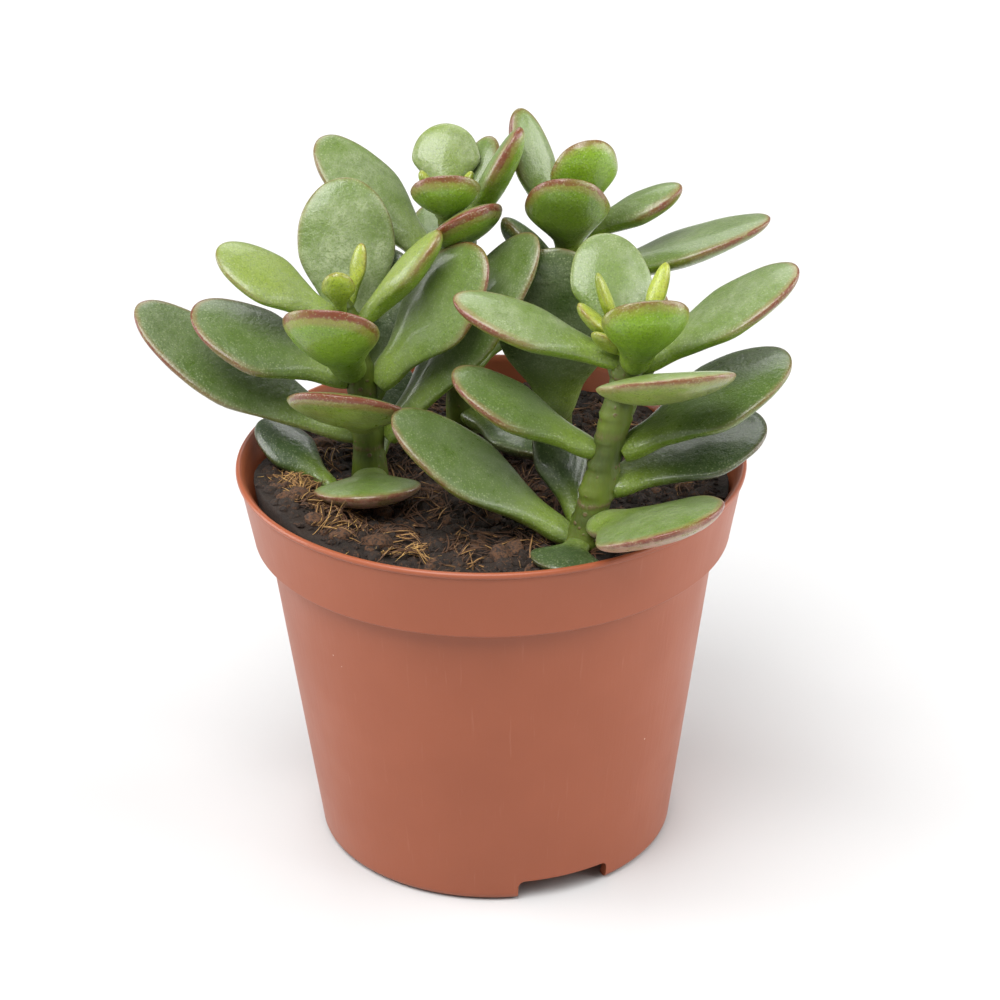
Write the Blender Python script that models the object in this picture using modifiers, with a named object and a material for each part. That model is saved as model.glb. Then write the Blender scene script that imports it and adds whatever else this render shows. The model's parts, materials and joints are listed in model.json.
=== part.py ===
"""A young jade plant of four rooted stems in a nine-centimetre plastic nursery pot.

Lengths are in millimetres and angles in degrees until MM turns them into Blender's metres.
The origin is under the middle of the whole plant, on the surface that the pot stands on. Pieces
are drawn about the pot's axis, and each object then stands at POT_AXIS. The front is -Y.
"""

import math
from collections import namedtuple

import bmesh
import bpy
import numpy as np
from mathutils import Vector

MM = 0.001
GAP = 0.3  # air between two pieces that touch on the real plant
POT_AXIS = Vector((5.4, 2.6, 0.0))  # the leaves reach further to the left and the front

# Pot
RIM_RADIUS = 45.0
POT_HEIGHT = 72.0
WALL = 1.2
LIP_HEIGHT = 1.6
COLLAR_TOP_RADIUS = RIM_RADIUS - 0.8
COLLAR_FOOT_RADIUS = RIM_RADIUS - 2.7
COLLAR_HEIGHT = 13.4
COLLAR_FOOT = POT_HEIGHT - COLLAR_HEIGHT
BODY_TOP_RADIUS = RIM_RADIUS - 5.2
FOOT_RADIUS = 32.0
FOOT_ROUNDING = 1.5
FOOT_RING_WIDTH = 1.1  # the flat band that the pot stands on
FLOOR_HEIGHT = 4.0
FLOOR_THICKNESS = 1.2
POT_SIDES = 48
NOTCHES = 2
NOTCH_WIDTH = 17.0
NOTCH_HEIGHT = FLOOR_HEIGHT - 0.1
NOTCH_DEPTH = 8.0  # how far the cutter runs through the foot ring
FIRST_NOTCH_ANGLE = -68.0
DRAIN_HOLES = 8
DRAIN_RADIUS = 3.5
DRAIN_RING_RADIUS = 20.0
DRAIN_SIDES = 16

# Soil, as (radius, height) points over its top from the middle outwards
SOIL_CROWN = 67.0
SOIL_TOP = ((0.0, SOIL_CROWN), (20.0, SOIL_CROWN - 0.2), (36.0, SOIL_CROWN - 0.8), (41.7, SOIL_CROWN - 1.0))
SOIL_CLEARANCE = GAP * 1.5

# Stems
STEM_FOOT = SOIL_CROWN + GAP
STEM_TAPER = 0.25
STEM_STEPS = 12
STEM_SIDES_RESOLUTION = 2

# Leaves
LEAF_SIDES = 10
LEAF_RINGS = 8
LEAF_THICKNESS = 4.8
NECK = 0.44  # width at the leaf's foot, as a share of its full width
WIDEST = 0.58
UPPER_SHARE = 0.85  # the upper face is flatter than the lower one
LOWER_SHARE = 1.15
YOUNG_FROM = 100.0  # a thin leaf that springs from above this height is still unfolding

Stem = namedtuple("Stem", "foot elbow tip height radius")
STEMS = {
    "left": Stem((-21.5, 1.0), (-21.3, 0.5), (-25.7, 0.0), 104.0, 2.8),
    "right": Stem((15.0, -26.0), (20.5, -24.5), (24.0, -20.0), 105.0, 2.9),
    "rear": Stem((-5.0, 20.0), (-6.0, 18.0), (-7.2, 18.0), 116.0, 2.6),
    "tall": Stem((12.0, 20.0), (13.0, 18.0), (15.8, 18.0), 114.0, 2.6),
}

# Each leaf springs from its stem at a height, and points along an azimuth (0 is +X, -90 the front)
# at a pitch above the level. Bend is how far it curls up from foot to tip, sweep how far it turns
# sideways, roll turns it on its own length, and cup lifts its edges into a trough. Widest is how far
# along the leaf it reaches its full width. Foot is where a leaf that rises from the soil starts.
Leaf = namedtuple(
    "Leaf", "name height azimuth pitch length width bend sweep roll cup thickness widest foot",
    defaults=(0, 0, 0, 0.03, LEAF_THICKNESS, WIDEST, None),
)
LEAVES = {
    "left": (
        Leaf("1_left", 69.6, 127, 12, 21.5, 9.5, roll=24, foot=(-28.6, -5.0)),
        Leaf("1_front", 69.4, -90, 14, 17.5, 21, widest=0.62),
        Leaf("1_back", 71, 80, 30, 20, 14),
        Leaf("2_left", 77, 166, 28, 43.5, 19, bend=20, roll=12),
        Leaf("2_right", 77, 10, 53, 43, 18, roll=-25),
        Leaf("3_front", 81, -100, 35, 22, 23.5),
        Leaf("3_back", 83, 72, 62, 25, 16),
        Leaf("4_left", 88, 176, 25, 28, 18.5, bend=8, roll=14),
        Leaf("4_right", 88, -1, 53, 29, 19, roll=-35),
        Leaf("5_front", 91, -106, 49, 22, 20.5, cup=0.12, widest=0.8),
        Leaf("5_back", 92, 97, 67, 29, 20, widest=0.68),
        Leaf("6_left", 99, 167, 30, 22.5, 14, roll=10),
        Leaf("6_right", 99.5, -2, 50, 20, 10, roll=-10),
        Leaf("7_front", 102, -95, 70, 8, 6.5, thickness=2.6),
        Leaf("7_back", 102, 50, 72, 9.5, 4, thickness=2.2),
    ),
    "right": (
        Leaf("1_front", 68.8, -110, 5, 11.2, 13.6, thickness=3.5),
        Leaf("1_left", 70, 168, 34, 34.5, 18, roll=15),
        Leaf("1_back", 71, 112, 50, 18, 11),
        Leaf("2_front", 73, -56, 22, 28.5, 25.5, roll=-4),
        Leaf("2_right", 78, 25, 14, 28.5, 24),
        Leaf("3_left", 85, 172, 29, 25.7, 16, roll=10),
        Leaf("3_right", 85, 8, 28, 30.5, 24, roll=-5),
        Leaf("4_front", 96, -67, 26, 25, 26.5, roll=7),
        Leaf("4_back", 90, 70, 55, 22, 14),
        Leaf("5_left", 100, 174, 21, 28, 14, roll=5),
        Leaf("5_right", 99.5, 5, 31, 29.5, 18),
        Leaf("6_front", 101, -75, 58, 16.5, 18.5, cup=0.14, widest=0.85),
        Leaf("6_back", 101, 104, 50, 19.5, 16),
        Leaf("7_left", 103, 178, 45, 9, 6.5, thickness=2.6),
        Leaf("7_front", 102, -135, 40, 7.5, 5.5, thickness=2.4),
        Leaf("8_left", 104, 165, 70, 11, 4, thickness=2.2),
        Leaf("8_right", 104, 35, 66, 12, 5, thickness=2.4),
    ),
    "rear": (
        Leaf("1_front", 72, -50, 3, 26, 15),
        Leaf("2_back", 80, 62, 22, 26, 17),
        Leaf("3_back", 94, 98, 22, 24, 14),
        Leaf("4_left", 102, 158, 43, 29, 17, roll=10),
        Leaf("5_front", 107, -75, 38, 17, 16, roll=-12),
        Leaf("5_back", 107, 60, 50, 17.5, 9),
        Leaf("6_right", 110, -8, 62, 19.5, 10),
        Leaf("7_front", 112.5, -92, 48, 13, 13.5, cup=0.12),
        Leaf("7_back", 112.5, 91, 55, 13.5, 13.5),
        Leaf("8_left", 114.5, 175, 60, 5, 3, thickness=2),
        Leaf("8_right", 114.5, -5, 60, 5, 3, thickness=2),
    ),
    "tall": (
        Leaf("2_back", 80, 82, 15, 26, 18),
        Leaf("3_front", 75, -94, 76, 35, 23, widest=0.4),
        Leaf("4_right", 98, 2, 18, 34.5, 17),
        Leaf("4_left", 102, 207, 47, 13, 11),
        Leaf("4_back", 102, 85, 15, 21, 15),
        Leaf("5_left", 107, 140, 68, 22, 10),
        Leaf("5_right", 107.5, 0, 26, 18, 10),
        Leaf("5_front", 106, -97, 56, 20, 16.5, cup=0.1),
        Leaf("7_front", 112, -79, 68, 16.8, 13.5, cup=0.1),
        Leaf("7_back", 111, 75, 50, 10, 7, thickness=3),
    ),
}

FINISHES = {
    "pot": ((0.38, 0.12, 0.07), 0.45),
    "soil": ((0.03, 0.02, 0.014), 0.95),
    "stem": ((0.2, 0.35, 0.06), 0.5),
    "leaf": ((0.12, 0.25, 0.06), 0.4),
    "young_leaf": ((0.4, 0.5, 0.08), 0.4),
}


def clear_scene():
    for obj in list(bpy.data.objects):
        bpy.data.objects.remove(obj, do_unlink=True)


def collection_named(name):
    found = bpy.data.collections.new(name)
    bpy.context.scene.collection.children.link(found)
    return found


def finish_named(name):
    """The Principled BSDF finish of one kind of piece, made once."""
    material = bpy.data.materials.get(name)
    if material:
        return material
    colour, roughness = FINISHES[name]
    material = bpy.data.materials.new(name)
    material.use_nodes = True
    shader = material.node_tree.nodes["Principled BSDF"]
    shader.inputs["Base Color"].default_value = (*colour, 1.0)
    shader.inputs["Roughness"].default_value = roughness
    shader.inputs["Metallic"].default_value = 0.0
    return material


def add_object(name, data, finish, collection):
    obj = bpy.data.objects.new(name, data)
    if finish:
        data.materials.append(finish_named(finish))
    obj.location = POT_AXIS * MM
    collection.objects.link(obj)
    return obj


def profile_object(name, points, finish, collection):
    """A turned piece: its profile, given as (radius, height) in millimetres, on a Screw."""
    mesh = bpy.data.meshes.new(name)
    vertices = [(radius * MM, 0.0, height * MM) for radius, height in points]
    edges = [(i, i + 1) for i in range(len(points) - 1)]
    mesh.from_pydata(vertices, edges, [])
    obj = add_object(name, mesh, finish, collection)
    screw = obj.modifiers.new("Turn", "SCREW")
    screw.steps = POT_SIDES
    screw.render_steps = POT_SIDES
    screw.use_merge_vertices = True
    screw.merge_threshold = 0.00001
    return obj


def arc(centre, radius, start, end, steps=4):
    """Points of a rounding in the profile's plane, from one angle to the other."""
    angles = [math.radians(start + (end - start) * i / steps) for i in range(steps + 1)]
    return [(centre[0] + radius * math.cos(a), centre[1] + radius * math.sin(a)) for a in angles]


def smooth(x):
    x = min(max(x, 0.0), 1.0)
    return x * x * (3.0 - 2.0 * x)


# ---------------------------------------------------------------- pot and soil


def inner_radius(height):
    """The inside of the pot's wall below the collar."""
    slope = (BODY_TOP_RADIUS - FOOT_RADIUS) / (COLLAR_FOOT - FOOT_ROUNDING)
    return FOOT_RADIUS + slope * (height - FOOT_ROUNDING) - WALL


def make_pot(parts, cutters):
    lip = LIP_HEIGHT / 2
    inner_step = COLLAR_FOOT + WALL
    floor_top = FLOOR_HEIGHT + FLOOR_THICKNESS
    ring_inside = FOOT_RADIUS - FOOT_ROUNDING - FOOT_RING_WIDTH
    profile = [(0.0, floor_top), (inner_radius(floor_top), floor_top), (inner_radius(inner_step), inner_step)]
    profile += [(COLLAR_FOOT_RADIUS - WALL, inner_step), (COLLAR_TOP_RADIUS - WALL, POT_HEIGHT - lip)]
    profile += arc((RIM_RADIUS - lip, POT_HEIGHT - lip), lip, 90.0, -60.0, 5)
    profile += [(COLLAR_TOP_RADIUS, POT_HEIGHT - LIP_HEIGHT), (COLLAR_FOOT_RADIUS, COLLAR_FOOT)]
    profile += [(BODY_TOP_RADIUS, COLLAR_FOOT)]
    profile += arc((FOOT_RADIUS - FOOT_ROUNDING, FOOT_ROUNDING), FOOT_ROUNDING, 0.0, -90.0, 3)
    profile += [(ring_inside, 0.0), (FOOT_RADIUS - WALL, FLOOR_HEIGHT), (0.0, FLOOR_HEIGHT)]
    pot = profile_object("pot", profile, "pot", parts)
    for i in range(NOTCHES):
        cut(pot, notch_cutter(i, cutters))
    for i in range(DRAIN_HOLES):
        cut(pot, drain_cutter(i, cutters))
    return pot


def cut(obj, cutter):
    modifier = obj.modifiers.new("Cut " + cutter.name, "BOOLEAN")
    modifier.operation = "DIFFERENCE"
    modifier.object = cutter
    modifier.solver = "EXACT"


def cutter_object(name, mesh_maker, cutters):
    mesh = bpy.data.meshes.new(name)
    bm = bmesh.new()
    mesh_maker(bm)
    bm.to_mesh(mesh)
    bm.free()
    obj = add_object(name, mesh, None, cutters)
    obj.hide_render = True
    obj.display_type = "WIRE"
    return obj


def notch_cutter(index, cutters):
    """A slot through the foot ring, open at the bottom, that lets water run out."""

    def make(bm):
        bmesh.ops.create_cube(bm, size=1.0)
        size = Vector((NOTCH_DEPTH, NOTCH_WIDTH, NOTCH_HEIGHT * 2))
        bmesh.ops.scale(bm, vec=size * MM, verts=bm.verts)
        bmesh.ops.translate(bm, vec=(FOOT_RADIUS * MM, 0.0, 0.0), verts=bm.verts)

    obj = cutter_object(f"notch_{index}", make, cutters)
    obj.rotation_euler.z = math.radians(FIRST_NOTCH_ANGLE + 360.0 * index / NOTCHES)
    return obj


def drain_cutter(index, cutters):
    """A round hole through the floor."""

    def make(bm):
        radius = DRAIN_RADIUS * MM
        height = FLOOR_THICKNESS * 3 * MM
        bmesh.ops.create_cone(
            bm, cap_ends=True, segments=DRAIN_SIDES, radius1=radius, radius2=radius, depth=height
        )

    obj = cutter_object(f"drain_{index}", make, cutters)
    angle = math.radians(360.0 * (index + 0.5) / DRAIN_HOLES)
    radius = DRAIN_RING_RADIUS * MM
    height = (FLOOR_HEIGHT + FLOOR_THICKNESS / 2) * MM
    obj.location += Vector((radius * math.cos(angle), radius * math.sin(angle), height))
    return obj


def make_soil(parts):
    """The root ball and the soil round it, which fill the pot nearly to the rim."""
    bottom = FLOOR_HEIGHT + FLOOR_THICKNESS + GAP
    step = COLLAR_FOOT + WALL + GAP
    profile = [*SOIL_TOP, (COLLAR_FOOT_RADIUS - WALL - SOIL_CLEARANCE, step)]
    profile += [(inner_radius(step) - SOIL_CLEARANCE, step)]
    profile += [(inner_radius(bottom) - SOIL_CLEARANCE, bottom), (0.0, bottom)]
    return profile_object("soil", profile, "soil", parts)


# ---------------------------------------------------------------- stems and leaves


def stem_axis(stem, height):
    """Where the stem's middle is at a height: a quadratic curve from foot through elbow to tip."""
    s = (height - STEM_FOOT) / (stem.height - STEM_FOOT)
    shares = ((1 - s) ** 2, 2 * s * (1 - s), s * s)
    x, y = (sum(k * p[axis] for k, p in zip(shares, stem[:3])) for axis in (0, 1))
    return Vector((x, y, height))


def stem_skin(stem, height):
    """The stem's radius at a height: it tapers slowly, and its tip is domed."""
    share = (height - STEM_FOOT) / (stem.height - STEM_FOOT)
    return stem.radius * (1.0 - STEM_TAPER * share) * math.sqrt(1.02 - share**8)


def make_stem(name, stem, parts):
    curve = bpy.data.curves.new(name, "CURVE")
    curve.dimensions = "3D"
    curve.bevel_depth = stem.radius * MM
    curve.bevel_resolution = STEM_SIDES_RESOLUTION
    curve.use_fill_caps = True
    spline = curve.splines.new("POLY")
    spline.points.add(STEM_STEPS)
    for i, point in enumerate(spline.points):
        height = STEM_FOOT + (stem.height - STEM_FOOT) * math.sin(math.pi / 2 * i / STEM_STEPS)
        point.co = (*(stem_axis(stem, height) * MM), 1.0)
        point.radius = stem_skin(stem, height) / stem.radius
    return add_object(name, curve, "stem", parts)


def leaf_axis(leaf, foot, t_values):
    """Middle points and directions along the leaf, which curls by bend and turns by sweep."""
    fine = 60
    points = [Vector(foot)]
    for i in range(fine):
        points.append(points[-1] + leaf_direction(leaf, (i + 0.5) / fine) * (leaf.length / fine))
    for t in t_values:
        place = t * fine
        i = min(int(place), fine - 1)
        yield points[i].lerp(points[i + 1], place - i), leaf_direction(leaf, t)


def leaf_direction(leaf, t):
    azimuth = math.radians(leaf.azimuth + leaf.sweep * (t - 0.5))
    pitch = math.radians(leaf.pitch + leaf.bend * (t - 0.5))
    level = math.cos(pitch)
    return Vector((level * math.cos(azimuth), level * math.sin(azimuth), math.sin(pitch)))


def leaf_foot(leaf, stem):
    """The leaf starts just clear of the stem's skin, further out the steeper it rises."""
    if leaf.foot:
        return Vector((*leaf.foot, leaf.height))
    direction = leaf_direction(leaf, 0.0)
    outward = Vector((direction.x, direction.y, 0.0)).normalized()
    reach = stem_skin(stem, leaf.height) + GAP + 0.45 * leaf.thickness * max(direction.z, 0.0)
    return stem_axis(stem, leaf.height) + outward * reach


def leaf_mesh(name, leaf, foot):
    """A thick obovate leaf: a sphere whose poles are foot and tip, drawn out along the leaf's axis."""
    bm = bmesh.new()
    bmesh.ops.create_uvsphere(bm, u_segments=LEAF_SIDES, v_segments=LEAF_RINGS, radius=1.0)
    rings = [(1.0 - math.cos(math.pi * i / LEAF_RINGS)) / 2 for i in range(LEAF_RINGS + 1)]
    axis = list(leaf_axis(leaf, foot, rings))
    roll = math.radians(leaf.roll)
    for vertex in bm.verts:
        t = (1.0 - vertex.co.z) / 2
        ring = round(math.acos(min(max(vertex.co.z, -1.0), 1.0)) / math.pi * LEAF_RINGS)
        point, direction = axis[ring]
        level_side = direction.cross(Vector((0.0, 0.0, 1.0))).normalized()
        upward = level_side.cross(direction)
        side = level_side * math.cos(roll) + upward * math.sin(roll)
        face = upward * math.cos(roll) - level_side * math.sin(roll)
        around = math.atan2(vertex.co.y, vertex.co.x)
        ends = math.sqrt(max(0.0, 1.0 - t**4)) * math.sqrt(max(0.0, 1.0 - (1.0 - t) ** 16))
        width = leaf.width * (NECK + (1.0 - NECK) * smooth(t / leaf.widest)) * ends
        depth = leaf.thickness * (0.75 + 0.25 * smooth(t / 0.5)) * ends
        blade = smooth(t / 0.35)
        across = math.cos(around)
        lift = abs(math.sin(around)) ** (1.0 + 0.35 * blade)
        lift *= UPPER_SHARE if math.sin(around) > 0 else -LOWER_SHARE
        trough = leaf.cup * width * blade * (across * across - 0.4)
        place = point + side * (width / 2 * across) + face * (depth / 2 * lift + trough)
        vertex.co = place * MM
    mesh = bpy.data.meshes.new(name)
    bm.to_mesh(mesh)
    bm.free()
    mesh.shade_smooth()
    return mesh


def make_leaf(stem_name, leaf, parts):
    name = f"{stem_name}_leaf_{leaf.name}"
    foot = leaf_foot(leaf, STEMS[stem_name])
    finish = "young_leaf" if leaf.thickness < LEAF_THICKNESS and leaf.height > YOUNG_FROM else "leaf"
    return add_object(name, leaf_mesh(name, leaf, foot), finish, parts)


def main():
    clear_scene()
    parts = collection_named("potted_jade_plant")
    cutters = collection_named("cutters")
    make_pot(parts, cutters)
    make_soil(parts)
    for name, stem in STEMS.items():
        make_stem(f"{name}_stem", stem, parts)
        for leaf in LEAVES[name]:
            make_leaf(name, leaf, parts)


main()
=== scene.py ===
"""Looks of a potted jade plant: thick waxy leaves, green stems, peat with coir, a moulded pot.

It is laid out as a Blender add-on and run as a script. Lengths are in metres, and MM turns
millimetres into them. The front is -Y, and the pot stands on Z = 0.
"""

import json
import math
from collections import namedtuple
from functools import cache, reduce

import bmesh
import bpy
import numpy as np
from bpy.props import FloatProperty, FloatVectorProperty, IntProperty, PointerProperty
from mathutils import Matrix, Vector


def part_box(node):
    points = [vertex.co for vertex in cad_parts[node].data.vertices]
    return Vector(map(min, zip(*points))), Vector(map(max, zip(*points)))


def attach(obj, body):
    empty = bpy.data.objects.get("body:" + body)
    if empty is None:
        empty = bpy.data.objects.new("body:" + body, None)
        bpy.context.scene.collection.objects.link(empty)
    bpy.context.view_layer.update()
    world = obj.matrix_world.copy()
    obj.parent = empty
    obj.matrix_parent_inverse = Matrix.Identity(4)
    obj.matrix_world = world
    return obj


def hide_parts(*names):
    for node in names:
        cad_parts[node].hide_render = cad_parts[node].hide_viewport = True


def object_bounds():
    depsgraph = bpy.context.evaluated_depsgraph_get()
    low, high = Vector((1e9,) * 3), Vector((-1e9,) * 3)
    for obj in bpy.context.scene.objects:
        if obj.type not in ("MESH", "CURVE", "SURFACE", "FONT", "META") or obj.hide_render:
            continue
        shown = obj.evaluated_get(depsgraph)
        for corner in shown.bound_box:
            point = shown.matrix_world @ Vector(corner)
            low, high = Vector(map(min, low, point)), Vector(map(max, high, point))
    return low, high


bl_info = {
    "name": "Potted Jade Plant",
    "version": (1, 0, 0),
    "blender": (4, 5, 0),
    "location": "3D View > Sidebar > Jade Plant",
    "description": "Builds the leaves, stems, soil, pot and studio of a small jade plant",
    "category": "Object",
}

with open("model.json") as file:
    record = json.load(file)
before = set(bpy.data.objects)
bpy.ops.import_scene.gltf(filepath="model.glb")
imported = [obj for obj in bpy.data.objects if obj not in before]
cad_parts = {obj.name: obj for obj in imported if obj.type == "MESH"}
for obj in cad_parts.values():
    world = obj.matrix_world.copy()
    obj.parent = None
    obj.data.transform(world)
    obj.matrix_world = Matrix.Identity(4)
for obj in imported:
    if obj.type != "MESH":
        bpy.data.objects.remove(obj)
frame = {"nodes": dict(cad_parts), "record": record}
CAD_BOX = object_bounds()
MM = 0.001
BODY = "root"
POT_LOW, POT_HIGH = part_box("pot")
SOIL_LOW, SOIL_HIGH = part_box("soil")
AXIS = (POT_LOW + POT_HIGH) / 2 * Vector((1, 1, 0))  # the middle of the pot's foot
POT_RADIUS = (POT_HIGH.x - POT_LOW.x) / 2
SOIL_RADIUS = (SOIL_HIGH.x - SOIL_LOW.x) / 2
STEMS = ("left", "right", "rear", "tall")
FOOT_RADIUS = 32 * MM
POT_FLOOR = (4.0 * MM, 5.2 * MM)
RIM_REACH = 5 * MM  # leaf_place counts distance from the margin as a share of this

# How one leaf looks. Tone runs from 0, old and darkened with painted shade, to 1, young and bright. Blush
# is how red its margin is, bloom how waxy grey its upper face, and flush how pink its underside. Turned
# is -1 where the waxy face is the one away from the stem.
Look = namedtuple("Look", "tone blush bloom flush turned", defaults=(0.4, 0.4, 0.4, 0.0, 1.0))
LOOKS_BY_NUMBER = {
    1: Look(0.2, 0.15, 0.2),
    2: Look(0.25, 0.4, 0.35),
    3: Look(0.3, 0.5, 0.3),
    4: Look(0.35, 0.5, 0.4),
    5: Look(0.45, 0.55, 0.4),
    6: Look(0.55, 0.6, 0.35),
    7: Look(0.92, 0.3, 0.05),
    8: Look(0.95, 0.15, 0.0),
}
# Leaves that lie in shade are given a low tone here, which paints their shade into their colour.
LOOKS = {
    "left_leaf_1_left": Look(0.05, 0.1, 0.0),
    "left_leaf_1_front": Look(0.5, 0.45, 0.45, 1.0),
    "left_leaf_1_back": Look(0.0, 0.1, 0.1),
    "left_leaf_2_left": Look(0.24, 0.5, 0.28, 0.25),
    "left_leaf_2_right": Look(0.3, 0.35, 0.3),
    "left_leaf_3_front": Look(0.5, 0.95, 0.3, 0.15),
    "left_leaf_3_back": Look(0.0, 0.1, 0.3),
    "left_leaf_4_left": Look(0.24, 0.55, 0.22),
    "left_leaf_4_right": Look(0.46, 0.55, 0.25),
    "left_leaf_5_front": Look(0.5, 0.85, 0.3),
    "left_leaf_5_back": Look(0.42, 0.3, 0.8),
    "left_leaf_6_left": Look(0.66, 0.25, 0.3),
    "left_leaf_6_right": Look(0.7, 0.4, 0.3),
    "right_leaf_1_front": Look(0.02, 0.1, 0.1),
    "right_leaf_1_left": Look(0.25, 0.4, 0.18),
    "right_leaf_1_back": Look(0.0, 0.1, 0.2),
    "right_leaf_2_front": Look(0.5, 0.6, 0.4, 1.0),
    "right_leaf_2_right": Look(0.0, 0.2, 0.12),
    "right_leaf_3_left": Look(0.3, 0.55, 0.1),
    "right_leaf_3_right": Look(0.26, 0.3, 0.0),
    "right_leaf_4_front": Look(0.6, 0.45, 0.6, 0.25),
    "right_leaf_5_left": Look(0.4, 0.6, 0.5),
    "right_leaf_5_right": Look(0.4, 0.55, 0.42),
    "right_leaf_6_front": Look(0.5, 0.4, 0.1),
    "right_leaf_6_back": Look(0.52, 0.1, 0.45),
    "rear_leaf_1_front": Look(0.0, 0.1, 0.25),
    "rear_leaf_4_left": Look(0.37, 0.35, 0.5),
    "rear_leaf_5_front": Look(0.4, 1.0, 0.2),
    "rear_leaf_6_right": Look(0.45, 0.6, 0.3),
    "rear_leaf_7_front": Look(0.38, 0.5, 0.1),
    "rear_leaf_7_back": Look(0.62, 0.05, 0.6),
    "tall_leaf_3_front": Look(0.12, 0.2, 0.25, 0.0, -1.0),
    "tall_leaf_4_left": Look(0.1, 0.2, 0.2),
    "tall_leaf_5_front": Look(0.33, 0.55, 0.2),
    "tall_leaf_7_front": Look(0.5, 0.4, 0.05),
    "tall_leaf_5_right": Look(0.4, 0.5, 0.3),
}

# Where things lie thick on the soil: (x, y, radius, cover), in millimetres from the pot's axis.
BARK_SPOTS = [(-33, -10, 12, 5.0)]
ROOT_SPOTS = [(-30, -12, 16, 1.5)]
RUST_SPOTS = [(-34, -10, 10, 3.0), (-10, -30, 14, 1.0)]
COIR_SPOTS = [
    (-35, -9, 8, 6.0),
    (-30, -20, 7, 2.5),
    (-15, -31, 7, 2.0),
    (4, -34, 6, 1.5),
    (-35, 4, 7, 4.0),
]
COIR_TUFTS = [
    (-35, -11, 4, 6),
    (-13, -32, 3, 6),
    (-27, -26, 3, 4),
    (-20, -32, 3, 3),
    (-36, 2, 4, 5),
    (12, -33, 2, 3),
]


# ---------------- settings a user may change


def length(name, millimetres, text):
    value = millimetres * MM
    return FloatProperty(name=name, description=text, default=value, unit="LENGTH", precision=5)


def amount(name, value, text, **limits):
    return FloatProperty(name=name, description=text, default=value, **limits)


def colour(name, value, text):
    kind = {"subtype": "COLOR", "size": 3, "min": 0, "max": 1}
    return FloatVectorProperty(name=name, description=text, default=value, **kind)


class JadeLeafSettings(bpy.types.PropertyGroup):
    upper: colour("Upper Face", (0.115, 0.18, 0.03), "Colour of a grown leaf's upper face")
    # Painted shade: this dark colour also stands for the shade on leaves that lie under others.
    shaded: colour("Old Leaf And Painted Shade", (0.028, 0.055, 0.012), "Colour of the oldest and most shaded leaves")
    young: colour("Young Leaf", (0.38, 0.44, 0.045), "Colour of the youngest leaves")
    # The underside colour is partly the leaf's own and partly painted light that shines through the leaf.
    under: colour("Underside", (0.17, 0.29, 0.012), "Colour of the underside")
    foot: colour("Foot", (0.22, 0.31, 0.03), "Colour of a leaf near the stem")
    margin: colour("Margin", (0.14, 0.022, 0.012), "Colour of the reddened margin")
    halo: colour("Halo", (0.24, 0.13, 0.05), "Colour that the margin fades through")
    pore: colour("Pore", (0.45, 0.5, 0.28), "Colour of the water pores")
    bloom: colour("Bloom", (0.40, 0.46, 0.26), "Colour of the grey wax on the upper face")
    flush: colour("Flush", (0.45, 0.27, 0.22), "Colour of an underside that has flushed pink")
    ripple: length("Ripple", 0.3, "How far the skin swells and dips")
    ripple_size: length("Ripple Size", 9.0, "Distance from one swelling to the next")
    bead: length("Margin Bead", 0.35, "Extra thickness along the margin")
    reach: length("Foot Reach", 2.0, "How far the leaf's foot runs into the stem")
    neck: length("Neck", 2.3, "Half the width of a grown leaf where it meets the stem")
    waist: amount("Waist", 0.26, "How much a leaf narrows towards its foot", min=0, max=1)


class JadeStemSettings(bpy.types.PropertyGroup):
    green: colour("Green Bark", (0.058, 0.085, 0.008), "Colour of the young bark")
    pale: colour("Pale Bark", (0.14, 0.19, 0.016), "Colour of the bark at the joints and near the top")
    brown: colour("Corky Bark", (0.13, 0.085, 0.04), "Colour of scars and corky specks")
    knuckle: length("Knuckle", 0.3, "How far the stem swells where leaves join it")
    root_depth: length("Root Depth", 3.0, "How far the stem runs on into the soil")


class JadePotSettings(bpy.types.PropertyGroup):
    plastic: colour("Plastic", (0.295, 0.073, 0.027), "Colour of the moulded pot")
    wall: length("Wall", 1.2, "Thickness of the pot's wall")
    collar: length("Collar", 13.4, "Height of the wide band under the rim")
    lip: length("Lip", 1.15, "Height of the rolled lip")
    notch: length("Notch", 17.0, "Width of a notch in the foot ring")


class JadeSoilSettings(bpy.types.PropertyGroup):
    peat: colour("Peat", (0.025, 0.0135, 0.008), "Colour of the peat")
    coir: colour("Coir", (0.4, 0.22, 0.07), "Colour of the coir fibres")
    root: colour("Old Fibre", (0.06, 0.028, 0.012), "Colour of the dark rotted fibres")
    crumbs: IntProperty(name="Crumbs", description="Crumbs per square decimetre", default=6500, min=0)
    fibres: IntProperty(name="Fibres", description="Fibres per square decimetre", default=700, min=0)
    seed: IntProperty(name="Seed", description="Changes how crumbs and fibres lie", default=4)


class JadeStudioSettings(bpy.types.PropertyGroup):
    floor: colour("Floor", (0.54, 0.54, 0.54), "Colour of the floor near the pot, and paler away from it")
    overhead: amount("Overhead", 13.0, "Power of the light above", unit="POWER")
    side: amount("Side", 3.0, "Power of each of the lower lights", unit="POWER")
    fill: amount("Fill", 0.34, "Strength of the light all round", min=0)


# ---------------- node helpers


def wire(node, inputs):
    """Links each input to the socket given for it, or sets it to the value given."""
    for key, value in inputs.items():
        if isinstance(value, bpy.types.NodeSocket):
            node.id_data.links.new(value, node.inputs[key])
        else:
            node.inputs[key].default_value = value


def add(tree, kind, inputs=None, **settings):
    """A new node with its settings made and its inputs linked or set."""
    node = tree.nodes.new(kind)
    for name, value in settings.items():
        setattr(node, name, value)
    wire(node, inputs or {})
    return node


def made(kind, inputs, output=0, **settings):
    """An output of a new node, which goes into the tree that its linked inputs come from."""
    tree = next(value.id_data for value in inputs.values() if isinstance(value, bpy.types.NodeSocket))
    return add(tree, kind, inputs, **settings).outputs[output]


def math_node(operation, a, b=0.0):
    return made("ShaderNodeMath", {0: a, 1: b}, operation=operation)


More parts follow.
